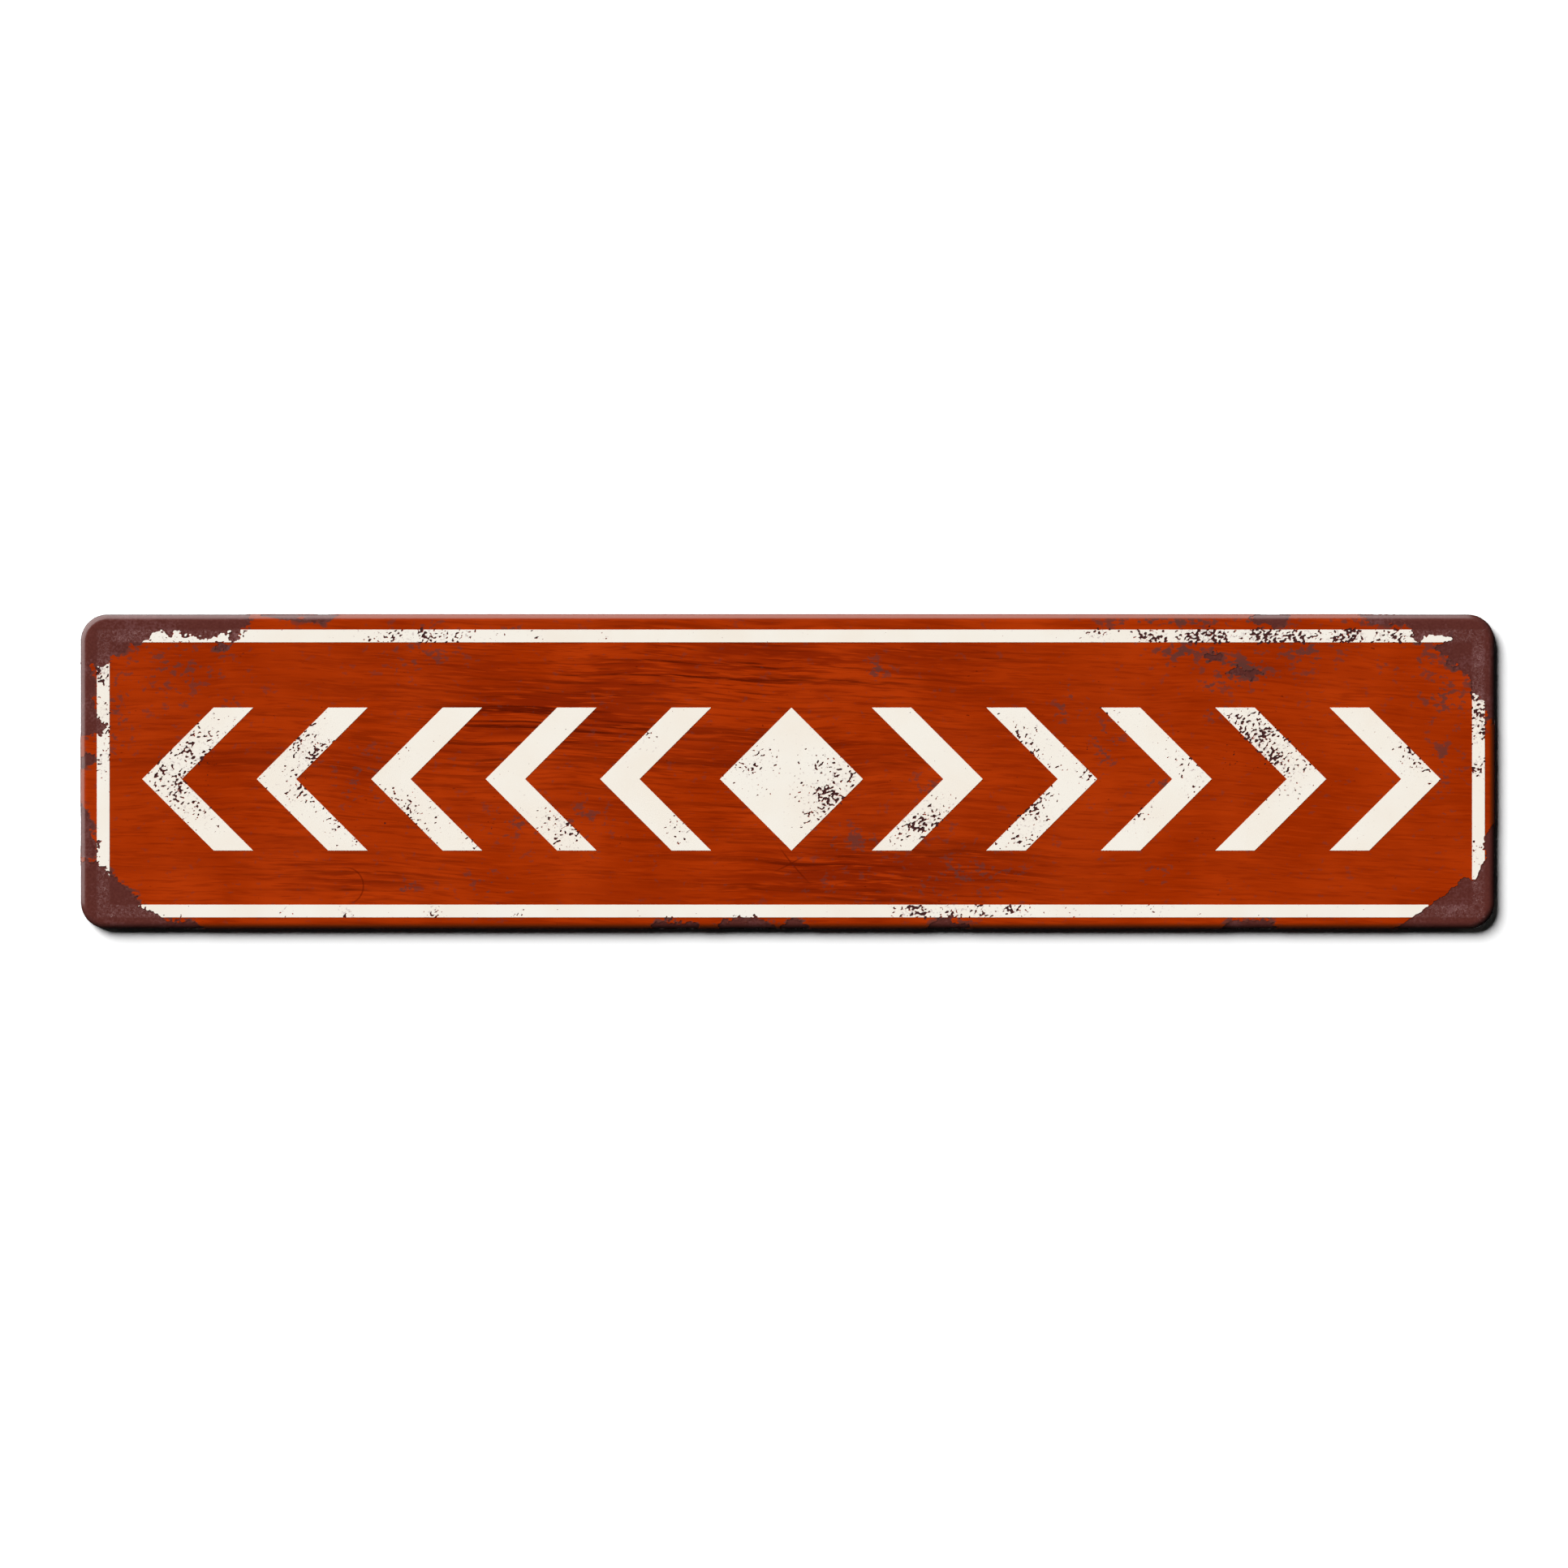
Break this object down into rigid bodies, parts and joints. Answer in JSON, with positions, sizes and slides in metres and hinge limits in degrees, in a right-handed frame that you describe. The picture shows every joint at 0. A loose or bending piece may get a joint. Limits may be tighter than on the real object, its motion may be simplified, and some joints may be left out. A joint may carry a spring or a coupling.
{
  "type": "decorative metal sign",
  "caption": "Long low pressed-steel wall sign with rounded corners, turned-down edge and return hems, worn red paint, cream border line and a row of printed chevrons.",
  "frame": {"origin": "middle of the plane that the return hems rest on, under the centre of the face", "axes": "+Z out of the face, +X along the sign's length to the right as seen from the front, +Y to its top edge"},
  "size_m": [0.4574, 0.1018, 0.0052],
  "materials": {
    "rusted_steel": "brown rust-stained steel, dull",
    "red_paint": "baked red paint film, low sheen, streaked and chipped",
    "cream_print": "cream printed paint, low sheen, chipped"
  },
  "bodies": {
    "root": {"steel_sheet": "rusted_steel", "red_coat": "red_paint", "border_line": "cream_print", "chevron_row": "cream_print"}
  },
  "joints": []
}
